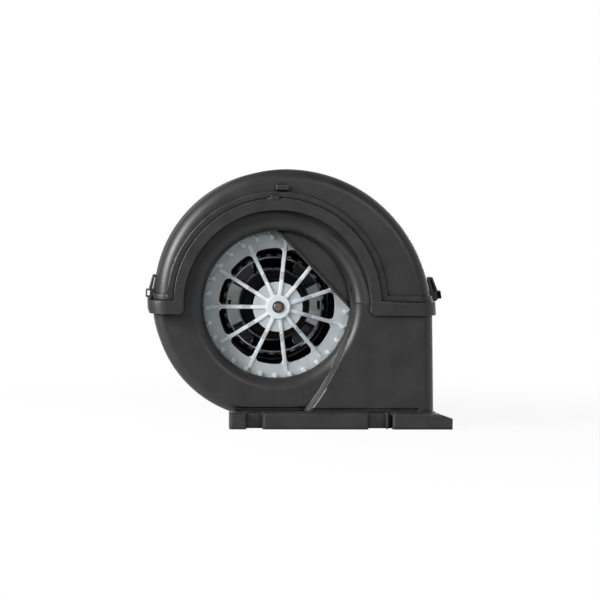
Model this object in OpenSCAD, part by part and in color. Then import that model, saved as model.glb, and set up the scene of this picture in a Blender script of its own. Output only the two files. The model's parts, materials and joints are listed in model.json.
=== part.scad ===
// Centrifugal heater blower: scroll housing in two halves, bladed impeller, nested brushed motor.
// The modules work in the front view: x to the right, y up, z towards the viewer, with the origin
// on the motor axis. place() stands that view on the base, with the front facing -Y.

/* [Scroll] */
// Height of the motor axis above the base
axis_h = 107.5; // [107:0.5:109]
// Distance along the base from the motor axis to the middle of the base bolts
axis_to_bolts = 58; // [57.5:0.5:58.5]
// Radius of the first scroll arc, at the lower left
scroll_r = 104.8; // [104:0.1:105.5]
// Growth of the scroll in each quarter turn
scroll_step = 13.2; // [12.8:0.1:13.4]
// Half of the scroll's width along the axis
half_w = 46; // [45.5:0.5:47]
// How far the front wall lies back where the scroll starts
start_drop = 8; // [6:0.5:9]
// Rounding of the scroll's front edge
front_round = 11; // [9:0.5:12]
// Rounding of the scroll's back edge
back_round = 5; // [4:0.5:6]
// Draft of the outlet duct's side wall, in degrees
duct_draft = 1.4; // [0.5:0.1:2]
// Wall thickness of the mouldings
wall = 2.5; // [2.2:0.1:2.8]

/* [Inlet] */
// Radius of the inlet's lip
inlet_r = 66; // [65:0.5:67]
// Rounding of the inlet's bell mouth
bell_round = 12; // [11:0.5:12.5]
// Distance from the inlet's centre to the shield's straight edge
shield_dist = 45.3; // [44:0.1:48]
// Direction of the shield from the inlet's centre, in degrees
shield_dir = 44; // [38:1:48]

/* [Joint of the two halves] */
// Radius of the arch where the cover meets the lower housing
arch_r = 92.9; // [92.6:0.1:93.2]
// Inner radius of the raised band along the arch
band_r = 83.9; // [83.4:0.1:84.4]
// How far the band and the belts stand proud of the scroll
belt_proud = 4.6; // [4:0.1:5]
// Height of the joint above the axis
split_h = 5.8; // [5.5:0.1:6.5]
// Height of the belts below the joint
belt_h = 11.8; // [11:0.1:12.5]
// Width of the cover's rim
rim_w = 5.6; // [5:0.1:6]
// How far the rim stands proud of the cover
rim_proud = 2; // [1.5:0.1:2.4]

/* [Base] */
// Reach of the base to the left of the axis
base_left = 44.4; // [44:0.2:46]
// Reach of the base to the right of the axis
base_right = 156.2; // [156:0.2:158]
// Half of the base's depth
base_half = 58; // [57:0.5:60]
// Height of the base's deck
deck_h = 14.5; // [14:0.1:15.5]
// Height of the blocks along the base's front
block_h = 13.8; // [12.5:0.1:14]
// Depth of the notches between the blocks
notch_d = 10; // [8:0.5:11]
// Bolt spacing along the base
bolt_dx = 180; // [179.5:0.5:180.5]
// Bolt spacing across the base
bolt_dy = 102; // [101:0.5:104]
// Radius of the bolt holes
bolt_r = 2.25; // [2:0.05:2.4]

/* [Impeller] */
// Number of blades
blade_count = 29; // [25:1:31]
// Radius at the middle of a blade's nose
nose_at = 62.8; // [62:0.2:63.4]
// Radius of a blade's nose
nose_r = 2; // [1.6:0.1:2.2]
// Lean of the blade from the radius at its nose, in degrees
blade_lean = 41; // [36:1:44]
// Turn of the blade from nose to tip, in degrees
blade_turn = 86; // [80:1:88]
// Thickness of a blade
blade_t = 1.3; // [1:0.1:1.5]
// Length of the blades along the axis
blade_len = 56; // [50:1:57]
// Number of spokes
spoke_count = 11; // [9:1:13]
// Width of a spoke
spoke_w = 3.6; // [3:0.1:4.2]
// Outer radius of the windows between the spokes
window_r = 52.8; // [51:0.2:53]

/* [Motor] */
// Radius of the motor can
can_r = 47; // [46.5:0.25:47.5]
// Length of the motor can
can_len = 70; // [69:0.5:71]
// Radius of the shaft
shaft_r = 4; // [3.9:0.05:4]
// Radius of the armature
armature_r = 34; // [33:0.25:34.25]
// Number of armature slots
slot_count = 12; // [10:1:14]
// Radius of the commutator
commutator_r = 11; // [10.5:0.25:11]
// Free play of the shaft in its bushes, on the radius
running_gap = 0.04; // [0.02:0.01:0.08]

/* [Hidden] */
$fn = 96;

far = 240;
over = 1;
fit_gap = 0.05;

// Scroll of arcs about the corners of a small square, which lies a little below the axis.
// The cover's second arc is drawn in, so that the cover sits inside the belt.
half_step = scroll_step / 2;
first_drop = 2.5;
top_drop = 0.9;
arc_right = 0.3;
second_in = 1.5;
arc_over = 5;
second_r = scroll_r + scroll_step - second_in;
third_r = scroll_r + 2 * scroll_step;
first_c = [-half_step, half_step - first_drop];
second_c = [half_step + arc_right, half_step - top_drop + second_in];
third_c = [half_step + arc_right, -half_step - top_drop];
right_x = third_c.x + third_r;
start_z = half_w - start_drop;
start_round = front_round - 2;

// The cut-off wall between the scroll's start and the outlet is one large arc
cutoff_c = [-157, 48];
cutoff_r = 232;
step_round = 3;
step_slope = 3;
wheel_room_r = 81;
groove_d = 1.2;
groove_h = 3.2;
start_groove = [-60, 40];

inlet_c = [-1, 2];
lip_z = start_z - bell_round;
bell_r = inlet_r + bell_round;
plate_hole_r = bell_r + 2;
skirt_r = inlet_r + wall;
skirt_low = start_z - 5;

// Above the split the wall round the inlet leans back, and sinks into the cheek at mouth_high
mouth_round = 8;
mouth_out = band_r + wall / 2;
mouth_low = -20;
mouth_high = 66;
mouth_sink = 0.6;
mouth_tilt = atan((start_drop + mouth_sink) / (mouth_high - split_h));
lean_x = 20;

arch_c = [-1.95, 5.1];
band_c = [arch_c.x, 3.4];
parting = 0.2;
band_z = half_w + belt_proud;
band_t = wall + 0.5;
band_open_y = split_h + 4;
rear_band_r = arch_r - 3.3;
tongue_x = -9.5;
tongue_y = 96.7;
tongue_w = 7.5;
tongue_d = 3.6;
tongue_h = 1.6;
belt_low = split_h - belt_h;
duct_ledge = 0.1;
duct_step = 1.4;
duct_top = belt_low + 1;
corner_round = 5;
rear_hole_r = 79;

base_y = -axis_h;
deck_y = base_y + deck_h;
notch_blocks = [[-base_left, -29.2], [-15, 80.1], [101.6, base_right]];
notch_rib = [96.3, 97.9];
block_round = 3;
deck_left = 38;
deck_right = 141;
ear_right = 153;
ear_h = 8;
ear_x = 144;
ear_slope = 18;
ear_cut = [40, 20, far];
pocket = [22, 6.5, 24];
pocket_pitch = [24.5, 26.5];
pocket_first = [-26, -42];
bolt_x = [axis_to_bolts - bolt_dx / 2, axis_to_bolts + bolt_dx / 2];
bolt_z = [-bolt_dy / 2, bolt_dy / 2];

catch_z = 14;
catch_w = 18;
catch_root = 7.5;
catch_off = 5;
catch_h = 22;
tongue_out = 4.4;
tongue_tip = 1.6;
hook_in = 3.6;
hook_out = 7.2;
hook_low = 1.6;
hook_high = 8.8;
hook_t = 1.1;
snap_size = [11, 4.2];
snap_x = -4.3;
snap_y = 1.5;
snap_proud = 2;

ring_z = 16;
ring_t = 2.5;
hub_z = ring_z + 13;
hub_r = 22;
boss_r = 10.8;
bore_gap = 0.02;
blade_front = ring_z + 2.5;
camber_r = 9.5;
camber_c = [nose_at + camber_r * sin(blade_lean), -camber_r * cos(blade_lean)];
window_corner = 4;
first_spoke = 17.1;
first_blade = 95;
web_z = hub_z - 1.5;
rib_drop = 7;
rib_out = 61;
ring_out = 74.5;
shroud_out = 76.6;
shroud_in = 69;
blade_back = blade_front - blade_len;
hub_clip_r = 5.3;
hub_clip_t = 0.9;

can_front = -14;
can_back = can_front - can_len;
can_t = 2;
can_round = 4;
can_cut = can_front - can_t - over;
can_in = can_r - can_t;
window_in = 33;
window_from = 27;
land_slot = [2.4, 8, 4];
land_slot_x = 40;
seat_t = 1.5;
cap_r = 32.4;
cap_t = 2.5;
cap_rim = 1.8;
cap_rib = [17, 1.4, 4];
cap_rib_y = 23.5;
front_bush_z = can_front + 4.5;
rear_bush_z = can_back - 6.5;
bush_r = 9;
bush_half = 6;
pocket_r = bush_r + fit_gap;
clip_in = 6.6;
front_clip_t = 0.9;
rear_clip_t = 0.5;
washer_r = 6.4;
washer_t = 1.3;
washer_gap = 0.1;
front_bush_back = front_bush_z - bush_half;
rear_bush_front = rear_bush_z + bush_half;
shaft_front = hub_z + 2.5;
shaft_back = rear_bush_z - 5;
shaft_bevel = 0.6;
core_front = can_front - 13;
core_back = core_front - 30;
commutator_front = core_back - 9.5;
commutator_back = can_back + 4;
magnet_in = armature_r + 0.8;
magnet_over = 4;
magnet_half = 60;
strip_t = 0.9;
strip_leg = 6.7;
slot_at = 26;
slot_r = 4.2;
slot_w = 2.4;
coil_h = 7.5;
coil_in = 12;
coil_out = 31;
coil_round = 3;
bar_gap = 0.6;
bar_gap_d = 1.2;

cup_in = can_r + 3;
cup_out = cup_in + wall;
cup_front = can_front - 16;
isolator_w = 10;
isolator_inset = 4;
flange_r = 87;
flange_t = 3;
mount_z = -half_w;
cup_rib = [77, 4, 30];
screw_at = 82.8;
screw_r = 1.9;
screw_len = 11;
head_r = 4;
head_h = 2.4;
cap_back = can_back - 3;

brush_z = (commutator_front + commutator_back) / 2;
brush_w = 12;
brush_d = 9;
brush_in = commutator_r + 0.08;
brush_out = 24;
tube_t = 0.8;
tube_gap = 0.12;
tube_in = 12.5;
tube_out = 35;
spring_end = 33.4;
brush_cap_t = 1.4;
spring_r = 3.2;
spring_wire_r = 0.45;
spring_turns = 5;
socket_c = [29, 0];
socket_size = [13, 24];
socket_depth = 16;
socket_t = 1.5;
tab_size = [6.3, 0.8];
tab_at = 4.5;
post_w = 12;
post_z = brush_z - brush_d / 2 - tube_gap - tube_t;
choke_at = [-27, 4];
choke_len = 16;
choke_r = 3.6;
choke_core_r = 2.4;
cradle_h = 2.2;

module place()
    translate([-axis_to_bolts, 0, axis_h])
        rotate([90, 0, 0])
            children();

// A plan outline, x by z, raised from height y0 to height y1
module stand(y0, y1)
    translate([0, y1, 0])
        rotate([90, 0, 0])
            linear_extrude(y1 - y0)
                children();

// A front outline, x by y, from depth z0 to depth z1
module slice(z0, z1)
    translate([0, 0, z0])
        linear_extrude(z1 - z0)
            children();

// The space between two heights, and between two limits to the left and right
module slab(y0, y1, x0 = -far, x1 = far)
    translate([x0, y0, -far / 2])
        cube([x1 - x0, y1 - y0, far]);

module ring(outer, inner, z0, z1)
    slice(z0, z1)
        difference() {
            circle(outer);
            circle(inner);
        }

// A wedge of the plane from one angle to another, less than half a turn
module wedge(from, to, reach = far)
    polygon([
        [0, 0],
        reach * [cos(from), sin(from)],
        reach * [cos((from + to) / 2), sin((from + to) / 2)] / cos((to - from) / 2),
        reach * [cos(to), sin(to)],
    ]);

// What a rounded outer corner takes off: side is 1 at the front edge, -1 at the back edge
module corner_cut(r, z, f, side)
    difference() {
        translate([r - f, side > 0 ? z - f : z - over])
            square(f + over);
        translate([r - f, z - side * f])
            circle(f);
    }

module drum_section(r, front, back, front_f, back_f)
    difference() {
        translate([0, back])
            square([r, front - back]);
        corner_cut(r, front, front_f, 1);
        corner_cut(r, back, back_f, -1);
    }

module drum(c, r, start, sweep, front, grow, front_f)
    translate([c.x, c.y, 0])
        rotate([0, 0, start])
            rotate_extrude(angle = sweep)
                drum_section(r + grow, front + grow, -half_w - grow, front_f + grow, back_round + grow);

module first_arc(grow, front, front_f, start = 180, sweep = 180)
    drum(first_c, scroll_r, start, sweep, front, grow, front_f);

module second_arc(grow)
    drum(second_c, second_r, 90, 90 + arc_over, half_w, grow, front_round);

module third_arc(grow)
    drum(third_c, third_r, 0, 90, half_w, grow, front_round);

// Straight duct that leaves the third arc behind the belt, its side wall leaning out to the base
module duct(grow, low) {
    side = right_x + duct_step + grow;
    intersection() {
        translate([side, third_c.y, 0])
            rotate([0, 0, duct_draft])
                translate([-side, 0, 0])
                    stand(2 * low, front_round)
                        drum_section(
                            side, half_w + grow, -half_w - grow,
                            front_round + grow, back_round + grow);
        slab(low, duct_top);
    }
}

module cutoff(r)
    translate([cutoff_c.x, cutoff_c.y, -far / 2])
        cylinder(r = r, h = far);

// The cut-off seen from the front: the step up to the outlet duct leans back
module step_cut()
    translate([cutoff_c.x, cutoff_c.y, 0])
        rotate_extrude()
            polygon([
                [0, -far / 2], [cutoff_r - step_slope, -far / 2], [cutoff_r - step_slope, start_z],
                [cutoff_r, half_w - step_round], [cutoff_r, far / 2], [0, far / 2],
            ]);

// Rounds the front edge of a wall whose inner side is an arc
module arc_edge_cut(c, r, f)
    translate([c.x, c.y, 0])
        rotate_extrude()
            difference() {
                translate([r - over, half_w - f])
                    square(f + over);
                translate([r + f, half_w - f])
                    circle(f);
            }

module foot_groove(x0, x1, front)
    translate([x0, deck_y, front - groove_d])
        cube([x1 - x0, groove_h, groove_d + over]);

module scroll_start()
    difference() {
        intersection() {
            first_arc(0, start_z, start_round);
            cutoff(cutoff_r + wall / 2);
        }
        translate([inlet_c.x, inlet_c.y, lip_z])
            cylinder(r = plate_hole_r, h = bell_round + over);
        foot_groove(start_groove[0], start_groove[1], start_z);
    }

module outlet_duct()
    difference() {
        union() {
            duct(-duct_ledge, base_y);
            intersection() {
                third_arc(0);
                slab(duct_top, split_h);
            }
        }
        step_cut();
        translate([inlet_c.x, inlet_c.y, lip_z])
            cylinder(r = skirt_r, h = far);
        arc_edge_cut(cutoff_c, cutoff_r, step_round);
        arc_edge_cut(inlet_c, skirt_r, mouth_round);
        foot_groove(0, right_x - front_round, half_w);
    }

module air_passage() {
    intersection() {
        first_arc(-wall, start_z, start_round);
        cutoff(cutoff_r);
    }
    difference() {
        union() {
            duct(-wall - duct_ledge, base_y - over);
            intersection() {
                third_arc(-wall);
                slab(duct_top, split_h + over);
            }
        }
        cutoff(cutoff_r + wall);
    }
    translate([0, 0, wall - half_w])
        cylinder(r = wheel_room_r, h = start_z + half_w - 2 * wall);
}

module rounded_front(x0, x1, z0, z1, r) {
    translate([x0, z0])
        square([x1 - x0, z1 - z0 - r]);
    translate([x0 + r, z0])
        square([x1 - x0 - 2 * r, z1 - z0]);
    for (x = [x0 + r, x1 - r])
        translate([x, z1 - r])
            circle(r);
}

module base_solid() {
    deck_front = base_half - notch_d;
    stand(base_y, deck_y)
        translate([-deck_left, -base_half])
            square([deck_left + deck_right, base_half + deck_front]);
    stand(base_y, base_y + ear_h)
        translate([0, -base_half])
            square([ear_right, base_half + deck_front]);
    for (b = notch_blocks)
        stand(base_y, base_y + block_h)
            rounded_front(b[0], b[1], deck_front - wall, base_half, block_round);
    stand(base_y, base_y + block_h)
        translate([notch_rib[0], deck_front - wall])
            square([notch_rib[1] - notch_rib[0], notch_d]);
}

module base_cuts() {
    translate([ear_x, deck_y - over, -far / 2])
        rotate([0, 0, -ear_slope])
            cube(ear_cut);
    for (x = bolt_x, z = bolt_z)
        translate([x, base_y - over, z])
            rotate([-90, 0, 0])
                cylinder(r = bolt_r, h = deck_h + 2 * over);
    for (i = [0, 1], k = [0 : 2])
        translate([
            pocket_first.x + i * pocket_pitch.x, base_y - over, pocket_first.y + k * pocket_pitch.y,
        ])
            cube(pocket);
}

// Flat inlet and motor cheeks that rise inside the cover's arch
module arch_disc(r)
    translate(arch_c)
        circle(r);

module upper_half(low)
    translate([-far / 2, low])
        square(far);

module cheeks() {
    slice(start_z - wall, start_z)
        difference() {
            intersection() {
                arch_disc(arch_r - parting);
                upper_half(0);
            }
            translate(inlet_c)
                circle(plate_hole_r);
        }
    slice(-half_w, wall - half_w)
        intersection() {
            arch_disc(arch_r - parting);
            upper_half(0);
        }
}

module joint_band() {
    translate([tongue_x, tongue_y, band_z - over])
        rotate([0, 90, 0])
            linear_extrude(tongue_w)
                polygon([[0, 0], [-over - tongue_h, 0], [-over, tongue_d], [0, tongue_d]]);
    difference() {
        slice(start_z - wall, band_z)
            band_outline(band_r);
        slice(start_z - wall - over, band_z - band_t)
            intersection() {
                difference() {
                    arch_disc(arch_r - parting - wall);
                    translate(band_c)
                        circle(band_r + wall);
                }
                upper_half(band_open_y);
            }
    }
    slice(-band_z, wall - half_w)
        band_outline(rear_band_r);
}

module band_outline(inner)
    difference() {
        arch_disc(arch_r - parting);
        translate(band_c)
            circle(inner);
        band_end(-1, belt_low, inner);
        band_end(1, belt_low, inner);
    }

// Cuts the band off at its lower end and rounds its inner corner
module band_end(side, low, inner) {
    corner_x = sqrt(inner * inner - (low - band_c.y) * (low - band_c.y));
    translate([band_c.x, 0])
        scale([side, 1]) {
            translate([0, low - far])
                square(far);
            difference() {
                translate([corner_x - over, low - over])
                    square(corner_round + over);
                translate([corner_x + corner_round, low + corner_round])
                    circle(corner_round);
            }
        }
}

// Belts along the side walls, with their arms across the front and the back
module joint_belts() {
    difference() {
        intersection() {
            first_arc(belt_proud - fit_gap, half_w, front_round, 180 - 2 * arc_over, 90);
            slab(belt_low, split_h, -far, 0);
        }
        first_arc(-wall / 2, start_z, start_round, 180 - 2 * arc_over, 90);
        belt_end();
    }
    difference() {
        intersection() {
            third_arc(belt_proud - fit_gap);
            slab(belt_low, split_h, 0, far);
        }
        third_arc(-wall);
        belt_end();
    }
}

// The belts' arms end inside the band
module belt_end()
    slice(-far / 2, far / 2)
        translate(band_c)
            circle(band_r + corner_round + over);

// The inlet's bell mouth, and the wall from it up to the outlet duct's front
module inlet_bell() {
    translate([inlet_c.x, inlet_c.y, 0])
        rotate_extrude() {
            intersection() {
                difference() {
                    translate([bell_r, lip_z])
                        circle(bell_round);
                    translate([bell_r, lip_z])
                        circle(bell_round - wall);
                }
                translate([inlet_r - over, lip_z])
                    square([bell_round + over, bell_round + over]);
            }
            translate([bell_r, start_z - wall])
                square([plate_hole_r - bell_r + wall, wall]);
        }
    difference() {
        mouth_wall();
        slab(split_h, far / 2);
        slab(mouth_low, split_h + over, -far, 0);
        intersection() {
            cutoff(cutoff_r);
            slab(-far / 2, mouth_low);
        }
    }
    intersection() {
        translate([0, split_h, half_w])
            rotate([-mouth_tilt, 0, 0])
                translate([0, -split_h, -half_w])
                    mouth_wall();
        translate([lean_x, split_h - over, skirt_low])
            cube(far);
    }
}

// Wall round the inlet with its inner edge rounded; past the split it leans back into the cheek
module mouth_wall()
    translate([inlet_c.x, inlet_c.y, 0])
        rotate_extrude()
            difference() {
                translate([skirt_r, skirt_low])
                    square([mouth_out - skirt_r, half_w - skirt_low]);
                difference() {
                    translate([skirt_r - over, half_w - mouth_round])
                        square(mouth_round + over);
                    translate([skirt_r + mouth_round, half_w - mouth_round])
                        circle(mouth_round);
                }
            }

module lower_housing()
    color([0.2, 0.2, 0.21])
        place()
            difference() {
                union() {
                    difference() {
                        union() {
                            scroll_start();
                            outlet_duct();
                            base_solid();
                        }
                        air_passage();
                    }
                    cheeks();
                    joint_band();
                    joint_belts();
                    inlet_bell();
                }
                base_cuts();
                translate([0, 0, -far / 2])
                    cylinder(r = rear_hole_r, h = far / 2 - half_w + wall + over);
                screw_places()
                    translate([0, 0, mount_z - over])
                        cylinder(r = screw_r + fit_gap, h = wall + 2 * over);
            }

// Snap catch on the cover's side: a sprung tongue that leans off the wall, over an open hook
module cover_catch(x, side, lean)
    translate([x, split_h, catch_z - catch_w / 2])
        scale([side, 1, 1])
            linear_extrude(catch_w)
                difference() {
                    rotate(lean)
                        polygon([
                            [-catch_root, -hook_low], [0.4, -hook_low], [hook_in, hook_low],
                            [hook_out, hook_low], [hook_out, hook_high], [tongue_out, hook_high],
                            [tongue_out, hook_high + hook_t], [tongue_tip, catch_h], [0, catch_h],
                            [-catch_root, catch_h - 2],
                        ]);
                    rotate(lean) {
                        translate([hook_in, hook_low + hook_t])
                            square([hook_out - hook_in - hook_t, hook_high - hook_low - 2 * hook_t]);
                        polygon([
                            [0.9, hook_high], [1.9, hook_high],
                            [0.2, catch_h - 2 * hook_t], [-0.8, catch_h - 2 * hook_t],
                        ]);
                    }
                }

module upper_cover()
    color([0.23, 0.23, 0.24])
        place()
            difference() {
                union() {
                    second_arc(0);
                    third_arc(0);
                    intersection() {
                        union() {
                            second_arc(rim_proud);
                            third_arc(rim_proud);
                        }
                        slab(split_h, split_h + rim_w);
                    }
                    slice(-half_w - rim_proud, half_w + rim_proud)
                        intersection() {
                            arch_disc(arch_r + rim_w);
                            upper_half(split_h);
                        }
                    slice(half_w - wall, half_w + rim_proud + snap_proud)
                        translate([snap_x, arch_c.y + arch_r + rim_w + snap_y])
                            square(snap_size);
                    cover_catch(first_c.x - scroll_r, -1, 2);
                    cover_catch(right_x + catch_off, 1, 9);
                }
                second_arc(-wall);
                third_arc(-wall);
                slice(-far / 2, far / 2)
                    arch_disc(arch_r);
                slab(-far / 2, split_h);
            }

module inlet_shield()
    color([0.21, 0.21, 0.22])
        place()
            translate([inlet_c.x, inlet_c.y, 0])
                rotate([0, 0, shield_dir]) {
                    slice(lip_z - wall, lip_z)
                        intersection() {
                            circle(inlet_r + wall - 0.3);
                            translate([shield_dist, -far / 2])
                                square(far);
                        }
                    slice(lip_z - over, lip_z + 2)
                        intersection() {
                            circle(inlet_r - 0.3);
                            translate([shield_dist, -far / 2])
                                square([2, far]);
                        }
                }

module screw_places()
    for (a = [45 : 90 : 315])
        rotate([0, 0, a])
            translate([screw_at, 0, 0])
                children();

module motor_mount()
    color([0.16, 0.16, 0.17])
        place()
            difference() {
                union() {
                    ring(flange_r, cup_in, mount_z - flange_t, mount_z);
                    ring(cup_out, cup_in, cap_back - wall, cup_front);
                    ring(cup_out, can_in - 3, cap_back - wall, cap_back);
                    for (a = [0 : 45 : 315])
                        rotate([90, 0, a])
                            translate([0, 0, -wall / 2])
                                linear_extrude(wall)
                                    polygon([
                                        [cup_in + over, mount_z - over], [cup_rib[0], mount_z - over],
                                        [cup_rib[0], mount_z - over - cup_rib[1]],
                                        [cup_in + over, mount_z - cup_rib[2]],
                                    ]);
                }
                screw_places()
                    translate([0, 0, mount_z - flange_t - over])
                        cylinder(r = screw_r + 4 * fit_gap, h = flange_t + 2 * over);
            }

module mount_screws()
    color([0.6, 0.6, 0.6])
        place()
            screw_places() {
                cylinder_from(head_r, mount_z - flange_t - head_h, mount_z - flange_t);
                cylinder_from(screw_r, mount_z - flange_t - over, mount_z - flange_t + screw_len);
            }

module isolator(back)
    color([0.1, 0.1, 0.1])
        place()
            ring(cup_in - fit_gap, can_r + fit_gap, back, back + isolator_w);

module isolator_front() isolator(cup_front - isolator_inset - isolator_w);

module isolator_rear() isolator(can_back + isolator_inset / 2);

module motor_can()
    color([0.75, 0.76, 0.78])
        place()
            difference() {
                union() {
                    rotate_extrude()
                        difference() {
                            translate([0, can_back])
                                square([can_r, can_len]);
                            corner_cut(can_r, can_front, can_round, 1);
                            translate([-over, can_back - over])
                                square([can_in + over, can_len - can_t + over]);
                        }
                    cylinder_from(pocket_r + can_t, can_front - over, front_bush_z + bush_half + seat_t);
                }
                cylinder_from(pocket_r, can_cut, front_bush_z + bush_half);
                cylinder_from(shaft_r + seat_t, can_cut, far / 2);
                for (a = [0, 180])
                    rotate([0, 0, a]) {
                        slice(can_cut, can_front + over)
                            intersection() {
                                difference() {
                                    circle(can_in - can_t);
                                    circle(window_in);
                                }
                                wedge(window_from, 180 - window_from);
                            }
                        translate([land_slot_x, -land_slot.y / 2, can_cut])
                            cube(land_slot);
                    }
            }

module cylinder_from(r, z0, z1)
    translate([0, 0, z0])
        cylinder(r = r, h = z1 - z0);

module magnet(side)
    color([0.25, 0.25, 0.26])
        place()
            slice(core_back - magnet_over, core_front + magnet_over)
                intersection() {
                    difference() {
                        circle(can_in - fit_gap);
                        circle(magnet_in);
                    }
                    rotate(side > 0 ? 0 : 180)
                        wedge(-magnet_half, magnet_half);
                }

module magnet_left() magnet(-1);

module magnet_right() magnet(1);

module magnet_springs()
    color([0.5, 0.5, 0.5])
        place()
            for (a = [0, 180])
                slice(core_back, core_front)
                    rotate(a) {
                        intersection() {
                            difference() {
                                circle(can_in - fit_gap);
                                circle(can_in - fit_gap - strip_t);
                            }
                            wedge(magnet_half + 0.3, 180 - magnet_half - 0.3);
                        }
                        for (m = [0, 1])
                            mirror([m, 0])
                                rotate(magnet_half + 0.2)
                                    translate([can_in - strip_leg - 0.3, 0.02])
                                        square([strip_leg, strip_t]);
                    }

module bearing_cap()
    color([0.1, 0.1, 0.1])
        place() {
            face = can_front + cap_t;
            ring(cap_r, pocket_r + can_t + 2 * fit_gap, can_front, face);
            ring(cap_r, cap_r - cap_rim, face - 0.5, face + cap_t);
            for (y = [-cap_rib_y, cap_rib_y])
                translate([-cap_rib.x / 2, y - cap_rib.y / 2, face - 0.5])
                    cube(cap_rib);
        }

module bush(z)
    color([0.55, 0.42, 0.28])
        place()
            translate([0, 0, z])
                difference() {
                    intersection() {
                        sphere(bush_r);
                        translate([0, 0, -bush_half])
                            cylinder(r = bush_r + over, h = 2 * bush_half);
                    }
                    translate([0, 0, -bush_r])
                        cylinder(r = shaft_r + running_gap, h = 2 * bush_r);
                }

module front_bearing() bush(front_bush_z);

module rear_bearing() bush(rear_bush_z);

// Spring rings that press each bush into its seat
module bearing_clips()
    color([0.5, 0.5, 0.52])
        place() {
            ring(pocket_r, clip_in, front_bush_back - front_clip_t, front_bush_back);
            ring(pocket_r, clip_in, rear_bush_front, rear_bush_front + rear_clip_t);
        }

module end_cap()
    color([0.12, 0.12, 0.12])
        place()
            difference() {
                union() {
                    cylinder_from(can_r - 0.2, cap_back, can_back);
                    ring(can_in - fit_gap, can_in - 3, can_back - over, can_back + 5);
                    cylinder_from(pocket_r + 3, rear_bush_z - bush_half - wall, cap_back + over);
                    socket_block(socket_size, over);
                    for (m = [0, 1])
                        mirror([0, m, 0]) {
                            brush_post();
                            choke_cradle();
                        }
                }
                cylinder_from(pocket_r, rear_bush_z - bush_half, far / 2);
                socket_block(socket_size - [2 * socket_t, 2 * socket_t], 0);
                for (side = [-1, 1])
                    translate([socket_c.x, side * tab_at, can_back])
                        cube([tab_size.x + 0.1, tab_size.y + 0.1, 20], center = true);
            }

// The plug socket's outer or inner block, down to the end cap's back and a little into it
module socket_block(size, sunk)
    translate([socket_c.x - size.x / 2, socket_c.y - size.y / 2, cap_back - socket_depth - over + sunk])
        cube([size.x, size.y, socket_depth + over]);

module brush_post()
    translate([-post_w / 2, tube_in + 2, can_back - over])
        cube([post_w, tube_out - tube_in - 4, post_z - can_back + over]);

module choke_cradle()
    translate([choke_at.x - post_w / 3, choke_at.y + 1, can_back - over])
        cube([post_w * 2 / 3, choke_len - 2, cradle_h + over]);

module terminals()
    color([0.8, 0.7, 0.4])
        place()
            for (side = [-1, 1])
                translate([
                    socket_c.x - tab_size.x / 2, side * tab_at - tab_size.y / 2, cap_back - socket_depth + 2,
                ])
                    cube([tab_size.x, tab_size.y, socket_depth + 9]);

module chokes()
    color([0.6, 0.35, 0.2])
        place()
            for (m = [0, 1])
                mirror([0, m, 0])
                    translate([choke_at.x, choke_at.y, can_back + cradle_h + choke_r])
                        rotate([-90, 0, 0]) {
                            cylinder(r = choke_core_r, h = choke_len);
                            translate([0, 0, 2])
                                cylinder(r = choke_r, h = choke_len - 4);
                        }

module both_sides()
    for (a = [0, 180])
        rotate([0, 0, a])
            children();

module brush_box(grow, y0, y1)
    translate([-brush_w / 2 - grow, y0, brush_z - brush_d / 2 - grow])
        cube([brush_w + 2 * grow, y1 - y0, brush_d + 2 * grow]);

module brush_tubes()
    color([0.8, 0.65, 0.35])
        place()
            both_sides()
                difference() {
                    brush_box(tube_gap + tube_t, tube_in, tube_out);
                    brush_box(tube_gap, tube_in - over, tube_out + over);
                }

module brush_caps()
    color([0.7, 0.6, 0.35])
        place()
            both_sides()
                brush_box(tube_gap - bore_gap, spring_end, spring_end + brush_cap_t);

module brush(turn)
    color([0.15, 0.15, 0.15])
        place()
            rotate([0, 0, turn])
                difference() {
                    brush_box(0, brush_in - 2, brush_out);
                    cylinder_from(brush_in, brush_z - brush_d, brush_z + brush_d);
                }

module brush_upper() brush(0);

module brush_lower() brush(180);

// Round wire wound into a coil along z, between two heights measured to its middle
module coil(r, wire_r, turns, height) {
    sides = 6;
    steps = 14 * turns;
    points = [
        for (i = [0 : steps], k = [0 : sides - 1])
            let (
                a = 360 * turns * i / steps,
                b = 360 * k / sides,
                reach = r + wire_r * cos(b)
            )
            [reach * cos(a), reach * sin(a), height * i / steps + wire_r * sin(b)]
    ];
    walls = [
        for (i = [0 : steps - 1], k = [0 : sides - 1])
            let (here = i * sides, next = (k + 1) % sides)
            [here + k, here + next, here + sides + next, here + sides + k]
    ];
    ends = [
        [for (k = [sides - 1 : -1 : 0]) k],
        [for (k = [0 : sides - 1]) steps * sides + k],
    ];
    polyhedron(points, concat(walls, ends));
}

module brush_spring(turn)
    color([0.7, 0.7, 0.72])
        place()
            rotate([0, 0, turn])
                translate([0, brush_out + spring_wire_r, brush_z])
                    rotate([-90, 0, 0])
                        coil(
                            spring_r, spring_wire_r, spring_turns,
                            spring_end - brush_out - 2 * spring_wire_r);

module brush_spring_upper() brush_spring(0);

module brush_spring_lower() brush_spring(180);

module shaft()
    color([0.62, 0.6, 0.56])
        place()
            rotate_extrude()
                polygon([
                    [0, shaft_back], [shaft_r - shaft_bevel, shaft_back],
                    [shaft_r, shaft_back + shaft_bevel], [shaft_r, shaft_front - shaft_bevel],
                    [shaft_r - shaft_bevel, shaft_front], [0, shaft_front],
                ]);

module slot_ring()
    for (i = [0 : slot_count - 1])
        rotate(i * 360 / slot_count)
            children();

module armature_core()
    color([0.45, 0.45, 0.47])
        place()
            slice(core_back, core_front)
                difference() {
                    circle(armature_r);
                    circle(shaft_r + bore_gap);
                    slot_ring() {
                        translate([slot_at, 0])
                            circle(slot_r);
                        translate([slot_at, -slot_w / 2])
                            square([armature_r - slot_at + over, slot_w]);
                    }
                }

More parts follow.
